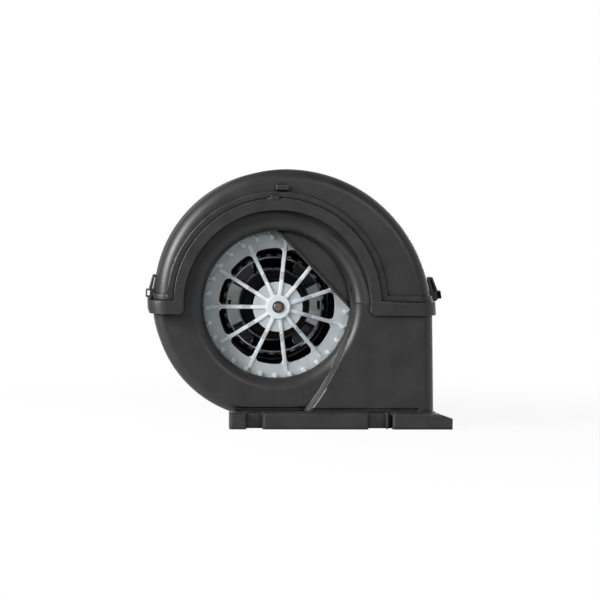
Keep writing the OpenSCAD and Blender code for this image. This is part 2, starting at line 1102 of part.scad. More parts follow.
module armature_windings()
    color([0.72, 0.4, 0.2])
        place() {
            slice(core_back - 0.5, core_front + 0.5)
                slot_ring()
                    translate([slot_at, 0])
                        circle(slot_r - 3 * fit_gap);
            rotate_extrude()
                for (z = [core_front, core_back - coil_h])
                    difference() {
                        translate([coil_in, z])
                            square([coil_out - coil_in, coil_h]);
                        corner_cut(coil_out, z + coil_h, coil_round, 1);
                        corner_cut(coil_out, z, coil_round, -1);
                    }
        }

module commutator()
    color([0.75, 0.45, 0.25])
        place()
            slice(commutator_back, commutator_front)
                difference() {
                    circle(commutator_r);
                    circle(shaft_r + bore_gap);
                    slot_ring()
                        translate([commutator_r - bar_gap_d, -bar_gap / 2])
                            square([bar_gap_d + over, bar_gap]);
                }

module thrust_washers()
    color([0.85, 0.82, 0.7])
        place() {
            front = front_bush_back - washer_gap;
            ring(washer_r, shaft_r + bore_gap, front - washer_t, front);
            ring(washer_r, shaft_r + bore_gap, rear_bush_front + washer_gap, commutator_back);
        }

// One window between two spokes, with round outer corners
module spoke_window(pitch) {
    inner = window_r - window_corner;
    side = spoke_w / 2;
    corner_turn = asin((side + window_corner) / inner);
    intersection() {
        difference() {
            circle(window_r);
            circle(hub_r + 0.5);
        }
        union() {
            difference() {
                intersection() {
                    wedge(0, pitch);
                    circle(inner);
                }
                spoke_strip(side);
                rotate(pitch)
                    spoke_strip(side);
            }
            wedge(corner_turn, pitch - corner_turn);
            for (a = [corner_turn, pitch - corner_turn])
                rotate(a)
                    translate([inner, 0])
                        circle(window_corner);
        }
    }
}

module spoke_strip(side)
    translate([0, -side])
        square([far, 2 * side]);

module blade() {
    start = 90 + blade_lean;
    translate([nose_at, 0])
        circle(nose_r);
    translate(camber_c)
        intersection() {
            difference() {
                circle(camber_r + blade_t / 2);
                circle(camber_r - blade_t / 2);
            }
            wedge(start - blade_turn, start, 20);
        }
}

// Hub disc and cone of the wheel's front, before its windows are cut
module wheel_front() {
    rotate_extrude()
        polygon([
            [boss_r - over, web_z], [hub_r, web_z], [window_r, ring_z],
            [window_r + 2, ring_z], [window_r + 2, ring_z - ring_t],
            [window_r, ring_z - ring_t], [hub_r, web_z - ring_t], [boss_r - over, web_z - ring_t],
        ]);
    cylinder_from(boss_r, ring_z - 10, hub_z + over);
}

// Rib along a spoke, from the boss over the ring
module spoke_rib()
    rotate([90, 0, 0])
        translate([0, 0, -spoke_w / 2 + 0.3])
            linear_extrude(spoke_w - 0.6)
                polygon([
                    [boss_r - over, hub_z - 0.4], [hub_r, hub_z - 0.4], [window_r, ring_z + 1.1],
                    [rib_out, ring_z + 0.6], [rib_out, ring_z - over],
                    [window_r, ring_z - ring_t - over], [hub_r, hub_z - rib_drop],
                    [boss_r - over, hub_z - rib_drop],
                ]);

module impeller()
    color([0.8, 0.84, 0.88])
        place() {
            pitch = 360 / spoke_count;
            difference() {
                wheel_front();
                cylinder_from(shaft_r + bore_gap, -far / 2, far / 2);
                for (i = [0 : spoke_count - 1])
                    rotate([0, 0, first_spoke + i * pitch])
                        slice(0, hub_z + over)
                            spoke_window(pitch);
            }
            for (i = [0 : spoke_count - 1])
                rotate([0, 0, first_spoke + i * pitch])
                    spoke_rib();
            ring(ring_out, window_r + over, ring_z - ring_t, ring_z);
            slice(blade_back, blade_front)
                for (i = [0 : blade_count - 1])
                    rotate(first_blade + i * 360 / blade_count)
                        blade();
            ring(shroud_out, shroud_in, blade_back - 2, blade_back + over);
        }

module hub_clip()
    color([0.45, 0.36, 0.28])
        place()
            ring(hub_clip_r, shaft_r + bore_gap, hub_z + over, hub_z + over + hub_clip_t);

lower_housing();
upper_cover();
inlet_shield();
motor_mount();
mount_screws();
isolator_front();
isolator_rear();
motor_can();
magnet_left();
magnet_right();
magnet_springs();
bearing_cap();
front_bearing();
rear_bearing();
bearing_clips();
end_cap();
terminals();
chokes();
brush_tubes();
brush_caps();
brush_upper();
brush_lower();
brush_spring_upper();
brush_spring_lower();
shaft();
armature_core();
armature_windings();
commutator();
thrust_washers();
impeller();
hub_clip();
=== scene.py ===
import json
import math
import bpy
import bmesh
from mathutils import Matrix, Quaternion, Vector
from mathutils.kdtree import KDTree

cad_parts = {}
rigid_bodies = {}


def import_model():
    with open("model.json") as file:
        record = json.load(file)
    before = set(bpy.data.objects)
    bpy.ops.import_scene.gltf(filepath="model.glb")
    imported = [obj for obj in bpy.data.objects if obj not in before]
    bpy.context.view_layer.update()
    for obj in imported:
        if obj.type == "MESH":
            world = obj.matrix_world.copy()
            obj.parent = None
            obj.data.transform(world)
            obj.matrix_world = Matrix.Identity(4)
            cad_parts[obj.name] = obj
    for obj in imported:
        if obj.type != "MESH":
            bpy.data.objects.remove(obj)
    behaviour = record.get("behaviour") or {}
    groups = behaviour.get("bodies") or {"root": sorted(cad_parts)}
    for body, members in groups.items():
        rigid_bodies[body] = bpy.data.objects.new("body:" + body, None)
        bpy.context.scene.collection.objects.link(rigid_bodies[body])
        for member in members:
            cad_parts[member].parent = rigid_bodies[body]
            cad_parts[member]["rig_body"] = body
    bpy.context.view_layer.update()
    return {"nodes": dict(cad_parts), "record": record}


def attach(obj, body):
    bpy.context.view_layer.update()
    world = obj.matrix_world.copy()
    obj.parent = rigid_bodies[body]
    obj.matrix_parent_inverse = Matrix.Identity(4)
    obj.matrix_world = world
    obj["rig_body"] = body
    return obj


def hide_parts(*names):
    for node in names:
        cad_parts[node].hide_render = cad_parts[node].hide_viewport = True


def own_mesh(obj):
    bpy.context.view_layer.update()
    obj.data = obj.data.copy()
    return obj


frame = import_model()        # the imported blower, one object for each CAD node
nodes = frame["nodes"]
scene = bpy.context.scene
scene.view_settings.view_transform = "Standard"
print("frame loaded:", len(nodes), "nodes")

# camera: a long lens a little to the left of the shaft and a little above it
cameraSet = {
    "azimuth": -5.6,           # degrees, minus is to the left
    "elevation": 2.7,
    "roll": 0.7,               # the blower stands a touch clockwise in the picture
    "distance": 1.8,
    "focalPixels": 1966,
    "imagePixels": 600,
    "sensorWidth": 36,
    "aim": (-0.0354, 0.0, 0.1125),
}


def makeCamera(s):
    turn, rise = math.radians(s["azimuth"]), math.radians(s["elevation"])
    back = Vector((math.sin(turn) * math.cos(rise), -math.cos(turn) * math.cos(rise), math.sin(rise)))
    data = bpy.data.cameras.new("pictureCamera")
    data.sensor_width = s["sensorWidth"]
    data.lens = data.sensor_width * s["focalPixels"] / s["imagePixels"]
    camera = bpy.data.objects.new("pictureCamera", data)
    scene.collection.objects.link(camera)
    camera.location = Vector(s["aim"]) + back * s["distance"]
    camera.rotation_mode = "QUATERNION"
    roll = Quaternion((0, 0, 1), math.radians(s["roll"]))
    camera.rotation_quaternion = (-back).to_track_quat("-Z", "Y") @ roll
    scene.camera = camera


makeCamera(cameraSet)
print("camera set")


# shader helpers

def addNode(tree, kind, **values):
    node = tree.nodes.new(kind)
    for key, value in values.items():
        if hasattr(node, key):
            setattr(node, key, value)
        else:
            node.inputs[key.replace("_", " ")].default_value = value
    return node


def newGroup(name, inputs, outputs):
    tree = bpy.data.node_groups.new(name, "ShaderNodeTree")
    for label, kind, value in inputs:
        socket = tree.interface.new_socket(label, in_out="INPUT", socket_type=kind)
        socket.default_value = value
    for label, kind in outputs:
        tree.interface.new_socket(label, in_out="OUTPUT", socket_type=kind)
    return tree, tree.nodes.new("NodeGroupInput"), tree.nodes.new("NodeGroupOutput")


def mouldGrainGroup():
    # fine spark-eroded texture with a slow drift in its depth, as on moulded housings
    tree, start, end = newGroup(
        "mouldGrain",
        [("Grain Size", "NodeSocketFloat", 900.0), ("Drift Size", "NodeSocketFloat", 14.0)],
        [("Height", "NodeSocketFloat"), ("Drift", "NodeSocketFloat"), ("Speck", "NodeSocketFloat")])
    link = tree.links.new
    where = tree.nodes.new("ShaderNodeTexCoord")
    grain = addNode(tree, "ShaderNodeTexNoise", Detail=3.0, Roughness=0.65)
    drift = addNode(tree, "ShaderNodeTexNoise", Detail=4.0, Roughness=0.55)
    speck = addNode(tree, "ShaderNodeTexVoronoi", feature="F1")
    for texture, size in ((grain, "Grain Size"), (speck, "Grain Size"), (drift, "Drift Size")):
        link(where.outputs["Object"], texture.inputs["Vector"])
        link(start.outputs[size], texture.inputs["Scale"])
    link(grain.outputs["Fac"], end.inputs["Height"])
    link(drift.outputs["Fac"], end.inputs["Drift"])
    link(speck.outputs["Distance"], end.inputs["Speck"])
    return tree


def settledDustGroup():
    # pale film that lies on faces that look up, broken up by noise
    tree, start, end = newGroup(
        "settledDust",
        [("Patch Size", "NodeSocketFloat", 30.0), ("Most", "NodeSocketFloat", 0.2)],
        [("Mask", "NodeSocketFloat")])
    link = tree.links.new
    where = tree.nodes.new("ShaderNodeTexCoord")
    shape = tree.nodes.new("ShaderNodeNewGeometry")
    split = tree.nodes.new("ShaderNodeSeparateXYZ")
    patch = addNode(tree, "ShaderNodeTexNoise", Detail=6.0, Roughness=0.7)
    up = addNode(tree, "ShaderNodeMapRange", From_Min=0.1, From_Max=1.0, To_Min=0.12, To_Max=1.0)
    both = addNode(tree, "ShaderNodeMath", operation="MULTIPLY")
    most = addNode(tree, "ShaderNodeMath", operation="MULTIPLY")
    link(where.outputs["Object"], patch.inputs["Vector"])
    link(start.outputs["Patch Size"], patch.inputs["Scale"])
    link(shape.outputs["Normal"], split.inputs["Vector"])
    link(split.outputs["Z"], up.inputs["Value"])
    link(up.outputs["Result"], both.inputs[0])
    link(patch.outputs["Fac"], both.inputs[1])
    link(both.outputs["Value"], most.inputs[0])
    link(start.outputs["Most"], most.inputs[1])
    link(most.outputs["Value"], end.inputs["Mask"])
    return tree


def drawnMetalGroup():
    # fine scratches and cloudy plating for metal parts
    tree, start, end = newGroup(
        "drawnMetal",
        [("Line Size", "NodeSocketFloat", 500.0), ("Cloud Size", "NodeSocketFloat", 40.0)],
        [("Lines", "NodeSocketFloat"), ("Clouds", "NodeSocketFloat")])
    link = tree.links.new
    where = tree.nodes.new("ShaderNodeTexCoord")
    stretch = tree.nodes.new("ShaderNodeMapping")
    stretch.inputs["Scale"].default_value = (1.0, 0.06, 1.0)
    lines = addNode(tree, "ShaderNodeTexNoise", Detail=2.0, Roughness=0.6)
    clouds = addNode(tree, "ShaderNodeTexNoise", Detail=5.0, Roughness=0.6)
    link(where.outputs["Object"], stretch.inputs["Vector"])
    link(stretch.outputs["Vector"], lines.inputs["Vector"])
    link(start.outputs["Line Size"], lines.inputs["Scale"])
    link(where.outputs["Object"], clouds.inputs["Vector"])
    link(start.outputs["Cloud Size"], clouds.inputs["Scale"])
    link(lines.outputs["Fac"], end.inputs["Lines"])
    link(clouds.outputs["Fac"], end.inputs["Clouds"])
    return tree


def edgeWearAndPaintedLightGroup():
    # corners rubbed pale by handling, with a painted highlight that lightens convex edges; painted shade
    # darkens narrow gaps and crevices found by ambient occlusion
    tree, start, end = newGroup(
        "edgeWearAndPaintedLight",
        [("Reach", "NodeSocketFloat", 0.0008), ("Gap", "NodeSocketFloat", 0.003),
         ("Patch Size", "NodeSocketFloat", 60.0)],
        [("Rubbed And Painted Highlight", "NodeSocketFloat"), ("Painted Shade", "NodeSocketFloat")])
    link = tree.links.new
    where = tree.nodes.new("ShaderNodeTexCoord")
    shape = tree.nodes.new("ShaderNodeNewGeometry")
    # the bevel's edge mask lightens convex edges, partly as rubbed wear and partly as a painted highlight
    rounded = addNode(tree, "ShaderNodeBevel", samples=4)
    # painted shade: this ambient occlusion marks the crevices that are darkened
    near = addNode(tree, "ShaderNodeAmbientOcclusion", samples=4)
    same = addNode(tree, "ShaderNodeVectorMath", operation="DOT_PRODUCT")
    edge = addNode(tree, "ShaderNodeMapRange", From_Min=0.985, From_Max=0.85, To_Min=0.0, To_Max=1.0)
    inOpen = addNode(tree, "ShaderNodeMapRange", From_Min=0.75, From_Max=0.95, To_Min=0.0, To_Max=1.0)
    paintedShade = addNode(tree, "ShaderNodeMapRange", From_Min=0.82, From_Max=0.4, To_Min=0.0, To_Max=1.0)
    patch = addNode(tree, "ShaderNodeTexNoise", Detail=5.0, Roughness=0.65)
    edgePatches = addNode(tree, "ShaderNodeMapRange", From_Min=0.35, From_Max=0.6, To_Min=0.25, To_Max=1.0)
    outer = addNode(tree, "ShaderNodeMath", operation="MULTIPLY")
    wearAndPaintedHighlight = addNode(tree, "ShaderNodeMath", operation="MULTIPLY")
    link(start.outputs["Reach"], rounded.inputs["Radius"])
    link(start.outputs["Gap"], near.inputs["Distance"])
    link(rounded.outputs["Normal"], same.inputs[0])
    link(shape.outputs["Normal"], same.inputs[1])
    link(same.outputs["Value"], edge.inputs["Value"])
    link(near.outputs["AO"], inOpen.inputs["Value"])
    link(near.outputs["AO"], paintedShade.inputs["Value"])
    link(where.outputs["Object"], patch.inputs["Vector"])
    link(start.outputs["Patch Size"], patch.inputs["Scale"])
    link(patch.outputs["Fac"], edgePatches.inputs["Value"])
    link(edge.outputs["Result"], outer.inputs[0])
    link(inOpen.outputs["Result"], outer.inputs[1])
    link(outer.outputs["Value"], wearAndPaintedHighlight.inputs[0])
    link(edgePatches.outputs["Result"], wearAndPaintedHighlight.inputs[1])
    link(wearAndPaintedHighlight.outputs["Value"], end.inputs["Rubbed And Painted Highlight"])
    link(paintedShade.outputs["Result"], end.inputs["Painted Shade"])
    return tree


groups = {
    "grain": mouldGrainGroup(),
    "wearAndPaintedLight": edgeWearAndPaintedLightGroup(),
    "dust": settledDustGroup(),
    "metal": drawnMetalGroup(),
}


def useGroup(tree, key, **values):
    node = tree.nodes.new("ShaderNodeGroup")
    node.node_tree = groups[key]
    for label, value in values.items():
        node.inputs[label.replace("_", " ")].default_value = value
    return node


def newMaterial(name):
    material = bpy.data.materials.new(name)
    material.use_nodes = True
    shader = material.node_tree.nodes["Principled BSDF"]
    return material, material.node_tree, shader


def mixColor(tree, first, second):
    mix = tree.nodes.new("ShaderNodeMix")
    mix.data_type = "RGBA"
    mix.inputs["A"].default_value = (*first, 1)
    mix.inputs["B"].default_value = (*second, 1)
    return mix


def spread(tree, source, low, high, fromLow=0.3, fromHigh=0.7):
    node = addNode(tree, "ShaderNodeMapRange", From_Min=fromLow, From_Max=fromHigh, To_Min=low, To_Max=high)
    tree.links.new(source, node.inputs["Value"])
    return node.outputs["Result"]


# how deep a full bump reaches, in metres
bumpDepth = {"moulded": 0.0002, "metal": 0.0001, "milky": 0.0004}


def bumpFrom(tree, shader, height, strength, distance):
    bump = addNode(tree, "ShaderNodeBump", Strength=strength, Distance=distance)
    tree.links.new(height, bump.inputs["Height"])
    tree.links.new(bump.outputs["Normal"], shader.inputs["Normal"])


def mouldedPlastic(name, s):
    material, tree, shader = newMaterial(name)
    link = tree.links.new
    grain = useGroup(tree, "grain", Grain_Size=s["grainSize"], Drift_Size=s["driftSize"])
    dust = useGroup(tree, "dust", Patch_Size=s["dustSize"], Most=s["dust"])
    tone = mixColor(tree, s["dark"], s["light"])
    film = mixColor(tree, s["dark"], s["dustColor"])
    link(spread(tree, grain.outputs["Drift"], 0.0, 1.0), tone.inputs["Factor"])
    link(tone.outputs["Result"], film.inputs["A"])
    link(dust.outputs["Mask"], film.inputs["Factor"])
    wearAndPaintedLight = useGroup(tree, "wearAndPaintedLight", Reach=s["wearAndHighlightReach"], Gap=s["gap"], Patch_Size=s["edgePatchSize"])
    # convex edges are lightened, partly as rubbed wear and partly as a painted highlight
    scuffAndHighlight = mixColor(tree, s["dark"], s["wearAndHighlightColor"])
    # painted shade: crevices are darkened nearly to black
    paintedShadeMix = mixColor(tree, s["dark"], s["paintedShadeColor"])
    link(wearAndPaintedLight.outputs["Rubbed And Painted Highlight"], scuffAndHighlight.inputs["Factor"])
    link(film.outputs["Result"], scuffAndHighlight.inputs["A"])
    link(wearAndPaintedLight.outputs["Painted Shade"], paintedShadeMix.inputs["Factor"])
    link(scuffAndHighlight.outputs["Result"], paintedShadeMix.inputs["A"])
    link(paintedShadeMix.outputs["Result"], shader.inputs["Base Color"])
    link(spread(tree, grain.outputs["Drift"], s["rough"][0], s["rough"][1]), shader.inputs["Roughness"])
    bumpFrom(tree, shader, grain.outputs["Height"], s["bump"], bumpDepth["moulded"])
    # painted shade: the specular level also falls to nothing in narrow gaps
    shine = spread(tree, wearAndPaintedLight.outputs["Painted Shade"], s["specular"], 0.0, 0.0, 1.0)
    link(shine, shader.inputs["Specular IOR Level"])
    return material


def metalFinish(name, s):
    material, tree, shader = newMaterial(name)
    link = tree.links.new
    metal = useGroup(tree, "metal", Line_Size=s["lineSize"], Cloud_Size=s["cloudSize"])
    tone = mixColor(tree, s["dark"], s["light"])
    link(spread(tree, metal.outputs["Clouds"], 0.0, 1.0), tone.inputs["Factor"])
    link(tone.outputs["Result"], shader.inputs["Base Color"])
    link(spread(tree, metal.outputs["Lines"], s["rough"][0], s["rough"][1]), shader.inputs["Roughness"])
    bumpFrom(tree, shader, metal.outputs["Lines"], s["bump"], bumpDepth["metal"])
    shader.inputs["Metallic"].default_value = s["metallic"]
    return material


def milkyPlastic(name, s):
    # natural unfilled plastic: pale, slightly blue, light passes a few millimetres into it
    material, tree, shader = newMaterial(name)
    link = tree.links.new
    grain = useGroup(tree, "grain", Grain_Size=s["grainSize"], Drift_Size=s["driftSize"])
    tone = mixColor(tree, s["dark"], s["light"])
    link(spread(tree, grain.outputs["Drift"], 0.0, 1.0), tone.inputs["Factor"])
    link(tone.outputs["Result"], shader.inputs["Base Color"])
    link(spread(tree, grain.outputs["Drift"], s["rough"][0], s["rough"][1]), shader.inputs["Roughness"])
    bumpFrom(tree, shader, grain.outputs["Drift"], s["bump"], bumpDepth["milky"])
    shader.inputs["Subsurface Weight"].default_value = s["depthShare"]
    shader.inputs["Subsurface Radius"].default_value = s["depthColors"]
    shader.inputs["Subsurface Scale"].default_value = s["depth"]
    shader.inputs["IOR"].default_value = s["ior"]
    # the ring plate and the hub's disc are thin enough to see into, the blade ends and spokes are not
    where = tree.nodes.new("ShaderNodeTexCoord")
    split = tree.nodes.new("ShaderNodeSeparateXYZ")
    nearest = addNode(tree, "ShaderNodeMath", operation="MINIMUM")
    cover = addNode(
        tree, "ShaderNodeMapRange", From_Min=s["plateHalf"], From_Max=s["plateHalf"] + s["plateBlend"],
        To_Min=s["plateCover"], To_Max=1.0)
    link(where.outputs["Object"], split.inputs["Vector"])
    for k, middle in enumerate((s["plateMiddle"], s["discMiddle"])):
        off = addNode(tree, "ShaderNodeMath", operation="ADD")
        off.inputs[1].default_value = middle
        away = addNode(tree, "ShaderNodeMath", operation="ABSOLUTE")
        link(split.outputs["Y"], off.inputs[0])
        link(off.outputs["Value"], away.inputs[0])
        link(away.outputs["Value"], nearest.inputs[k])
    link(nearest.outputs["Value"], cover.inputs["Value"])
    link(cover.outputs["Result"], shader.inputs["Alpha"])
    return material


housingSet = {
    "dark": (0.014, 0.014, 0.0148), "light": (0.024, 0.024, 0.0248), "dustColor": (0.25, 0.24, 0.23),
    "grainSize": 900.0, "driftSize": 60.0, "dustSize": 40.0, "dust": 0.06,
    "rough": (0.4, 0.47), "bump": 0.12, "specular": 0.5,
    # edge colour: partly rubbed wear, partly painted highlight
    "wearAndHighlightColor": (0.12, 0.12, 0.12), "wearAndHighlightReach": 0.0009, "edgePatchSize": 60.0,
    # painted shade colour laid into crevices
    "paintedShadeColor": (0.004, 0.004, 0.004), "gap": 0.004,
}
materials = {
    "housing_plastic": mouldedPlastic("satinBlackHousing", housingSet),
    "impeller_plastic": milkyPlastic("milkyWheel", {
        "dark": (0.72, 0.79, 0.83), "light": (0.80, 0.855, 0.885), "grainSize": 700.0, "driftSize": 60.0,
        "rough": (0.22, 0.32), "bump": 0.1, "ior": 1.49,
        "depthShare": 0.3, "depth": 0.003, "depthColors": (1.0, 1.1, 1.3),
        "plateMiddle": 0.01475, "discMiddle": 0.02625, "plateHalf": 0.00128, "plateBlend": 0.0002,
        "plateCover": 0.6,
    }),
    "can_steel": metalFinish("zincPlatedCan", {
        "dark": (0.58, 0.59, 0.60), "light": (0.76, 0.76, 0.76), "lineSize": 60.0, "cloudSize": 30.0,
        "rough": (0.21, 0.26), "bump": 0.0, "metallic": 1.0,
    }),
    "shaft_steel": metalFinish("brownedShaft", {
        "dark": (0.13, 0.105, 0.09), "light": (0.32, 0.27, 0.24), "lineSize": 900.0, "cloudSize": 600.0,
        "rough": (0.30, 0.50), "bump": 0.3, "metallic": 0.9,
    }),
    "clip_steel": metalFinish("bluedClip", {
        "dark": (0.05, 0.035, 0.03), "light": (0.10, 0.07, 0.055), "lineSize": 900.0, "cloudSize": 300.0,
        "rough": (0.35, 0.5), "bump": 0.2, "metallic": 0.8,
    }),
    "screw_steel": metalFinish("zincScrew", {
        "dark": (0.42, 0.42, 0.42), "light": (0.6, 0.6, 0.58), "lineSize": 900.0, "cloudSize": 200.0,
        "rough": (0.25, 0.4), "bump": 0.15, "metallic": 1.0,
    }),
    "ferrite": metalFinish("groundFerrite", {
        "dark": (0.05, 0.05, 0.055), "light": (0.08, 0.08, 0.085), "lineSize": 700.0, "cloudSize": 90.0,
        "rough": (0.5, 0.7), "bump": 0.3, "metallic": 0.2,
    }),
    "core_steel": metalFinish("stackedCore", {
        "dark": (0.16, 0.16, 0.17), "light": (0.26, 0.26, 0.27), "lineSize": 1600.0, "cloudSize": 60.0,
        "rough": (0.4, 0.55), "bump": 0.5, "metallic": 0.8,
    }),
    "copper": metalFinish("enamelledCopper", {
        "dark": (0.35, 0.11, 0.04), "light": (0.55, 0.22, 0.09), "lineSize": 1200.0, "cloudSize": 120.0,
        "rough": (0.25, 0.4), "bump": 0.8, "metallic": 0.9,
    }),
    "bronze": metalFinish("oiledBronze", {
        "dark": (0.22, 0.13, 0.06), "light": (0.36, 0.23, 0.11), "lineSize": 900.0, "cloudSize": 200.0,
        "rough": (0.35, 0.5), "bump": 0.3, "metallic": 0.9,
    }),
    "brass": metalFinish("stampedBrass", {
        "dark": (0.45, 0.30, 0.10), "light": (0.62, 0.45, 0.18), "lineSize": 600.0, "cloudSize": 120.0,
        "rough": (0.25, 0.4), "bump": 0.15, "metallic": 1.0,
    }),
    "carbon": metalFinish("pressedCarbon", {
        "dark": (0.02, 0.02, 0.02), "light": (0.04, 0.04, 0.042), "lineSize": 800.0, "cloudSize": 200.0,
        "rough": (0.5, 0.7), "bump": 0.3, "metallic": 0.1,
    }),
    "rubber": mouldedPlastic("softRubber", {
        **housingSet, "dark": (0.012, 0.012, 0.012), "light": (0.02, 0.02, 0.02), "rough": (0.65, 0.8),
        "grainSize": 600.0, "bump": 0.4, "dust": 0.1,
    }),
    "washer_plastic": mouldedPlastic("nylonWasher", {
        **housingSet, "dark": (0.55, 0.50, 0.38), "light": (0.66, 0.61, 0.48), "rough": (0.35, 0.45),
    }),
}
ownFinish = {
    "bearing_cap": mouldedPlastic("dullBlackCap", {
        **housingSet, "dark": (0.004, 0.004, 0.004), "light": (0.008, 0.008, 0.008), "rough": (0.55, 0.65),
        "specular": 0.15,
    }),
}
print("materials made:", len(materials) + len(ownFinish))


# carried-over CAD nodes take their slot's finish
slotOf = {part["node"]: part["material_slot"] for part in frame["record"]["subparts"]}


def finishOf(name):
    return ownFinish.get(name) or materials[slotOf[name]]


for name, node in nodes.items():
    node.data.materials.clear()
    node.data.materials.append(finishOf(name))


# moulded pieces: the CAD solid's own faces, joined up, with their sharp edges broken
meshSet = {
    "weld": 1e-6,                  # metres
    "flat": 0.1,                   # degrees
    "sharp": 30.0,
    "smooth": 40.0,
    "segments": 2,
    "fold": 175.0,
    "foldReach": 2.0,              # shares of the bevel's width
    "foldLongest": (4.0, 12.0),
}
edgeSet = {
    "lower_housing": ("scrollHousing", 0.0006),
    "upper_cover": ("scrollCover", 0.0005),
    "inlet_shield": ("inletShield", 0.0003),
    "motor_mount": ("motorCup", 0.0005),
    "impeller": ("fanWheel", 0.00025),
    "motor_can": ("motorCan", 0.0003),
    "bearing_cap": ("bearingCap", 0.0003),
    "end_cap": ("motorEnd", 0.0004),
    "mount_screws": ("mountScrews", 0.0004),
}


def weldedCopy(name):
    bm = bmesh.new()
    bm.from_mesh(nodes[name].data)
    bmesh.ops.remove_doubles(bm, verts=bm.verts, dist=meshSet["weld"])
    return bm


def addPiece(name, pieceName, bm, smooth, flatten):
    mesh = bpy.data.meshes.new(pieceName)
    bm.to_mesh(mesh)
    bm.free()
    mesh.polygons.foreach_set("use_smooth", [True] * len(mesh.polygons))
    mesh.set_sharp_from_angle(angle=math.radians(smooth))
    mesh.materials.append(finishOf(name))
    piece = bpy.data.objects.new(pieceName, mesh)
    scene.collection.objects.link(piece)
    if flatten:
        weighted = piece.modifiers.new("flatFaces", "WEIGHTED_NORMAL")
        weighted.keep_sharp = True
    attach(piece, nodes[name]["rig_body"])
    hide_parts(name)
    return piece


def sharperThan(edge, degrees):
    return edge.is_manifold and edge.calc_face_angle(0) > math.radians(degrees)


def faceWidth(face):
    return face.calc_area() / max(e.calc_length() for e in face.edges)


def foldedEdges(bm):
    # where a sliver lies back on its neighbour
    return [e for e in bm.edges if sharperThan(e, meshSet["fold"])]


def mergeFolds(bm):
    bmesh.ops.dissolve_edges(bm, edges=foldedEdges(bm), use_verts=False, use_face_split=False)


def bevelCopy(plain, width, chosen):
    bm = plain.copy()
    bm.edges.ensure_lookup_table()
    bmesh.ops.bevel(
        bm, geom=[bm.edges[k] for k in chosen], offset=width, offset_type="OFFSET", affect="EDGES",
        segments=meshSet["segments"], profile=0.5, material=-1, clamp_overlap=False)
    return bm


def nearFold(tree, edge, reach):
    first, last = edge.verts[0].co, edge.verts[1].co
    steps = int((last - first).length / reach) + 2
    return any(tree.find(first.lerp(last, k / steps))[2] < reach for k in range(steps + 1))


def breakEdges(bm, width):
    mergeFolds(bm)
    bmesh.ops.dissolve_limit(
        bm, angle_limit=math.radians(meshSet["flat"]), verts=bm.verts, edges=bm.edges)
    bm.edges.index_update()
    bm.edges.ensure_lookup_table()
    chosen = [
        e.index for e in bm.edges
        if sharperThan(e, meshSet["sharp"]) and e.calc_length() > width
        and all(faceWidth(f) > width for f in e.link_faces)
    ]
    broken = bevelCopy(bm, width, chosen)
    # short edges whose bevel would fold over stay sharp
    for longest in meshSet["foldLongest"]:
        folds = foldedEdges(broken)
        if not folds:
            break
        tree = KDTree(len(folds))
        for k, e in enumerate(folds):
            tree.insert((e.verts[0].co + e.verts[1].co) / 2, k)
        tree.balance()
        broken.free()
        chosen = [
            k for k in chosen
            if bm.edges[k].calc_length() > longest * width
            or not nearFold(tree, bm.edges[k], meshSet["foldReach"] * width)
        ]
        broken = bevelCopy(bm, width, chosen)
    mergeFolds(broken)
    bm.free()
    return broken, len(chosen)


# six-lobed drive recess in each screw head
driveSet = {
    "facing": 0.99,              # heads look along the shaft
    "headFrom": 0.0025,
    "sameHeight": 1e-5,
    "rim": 0.0004,
    "lobe": 0.0017,
    "wave": 0.00028,
    "depth": 0.0014,
}


def cutDrives(bm, s):
    heads = [
        f for f in bm.faces
        if f.normal.y > s["facing"]
        and max((v.co - f.calc_center_median()).length for v in f.verts) > s["headFrom"]
    ]
    back = max(f.calc_center_median().y for f in heads)
    heads = [f for f in heads if abs(f.calc_center_median().y - back) < s["sameHeight"]]
    bmesh.ops.inset_individual(bm, faces=heads, thickness=s["rim"], use_even_offset=True)
    for face in heads:
        middle = face.calc_center_median()
        for v in face.verts:
            out = v.co - middle
            turn = math.atan2(out.z, out.x)
            v.co = middle + out.normalized() * (s["lobe"] + s["wave"] * math.cos(6 * turn))
    cut = bmesh.ops.extrude_discrete_faces(bm, faces=heads)["faces"]
    for face in cut:
        bmesh.ops.translate(bm, verts=face.verts, vec=(0, -s["depth"], 0))
    return len(cut)


def dressNode(name, pieceName, width):
    bm, count = breakEdges(weldedCopy(name), width)
    if name == "mount_screws":
        print("drive recesses:", cutDrives(bm, driveSet))
    piece = addPiece(name, pieceName, bm, meshSet["smooth"], True)
    print(pieceName, "edges broken:", count, "faces:", len(piece.data.polygons))


for name, (pieceName, width) in edgeSet.items():
    dressNode(name, pieceName, width)


# brush springs: each is a welded, smooth-shaded copy of its CAD node, on its own mesh
springSet = {
    "travel": 0.004,
    "smooth": 50.0,
    "springs": [
        ("brush_spring_upper", "upperSpring", "upper_brush_slide", 1),
        ("brush_spring_lower", "lowerSpring", "lower_brush_slide", -1),
    ],
}


def dressSpring(name, pieceName, joint, side, s):
    piece = addPiece(name, pieceName, weldedCopy(name), s["smooth"], False)
    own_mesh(piece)


for spring in springSet["springs"]:
    dressSpring(*spring, springSet)


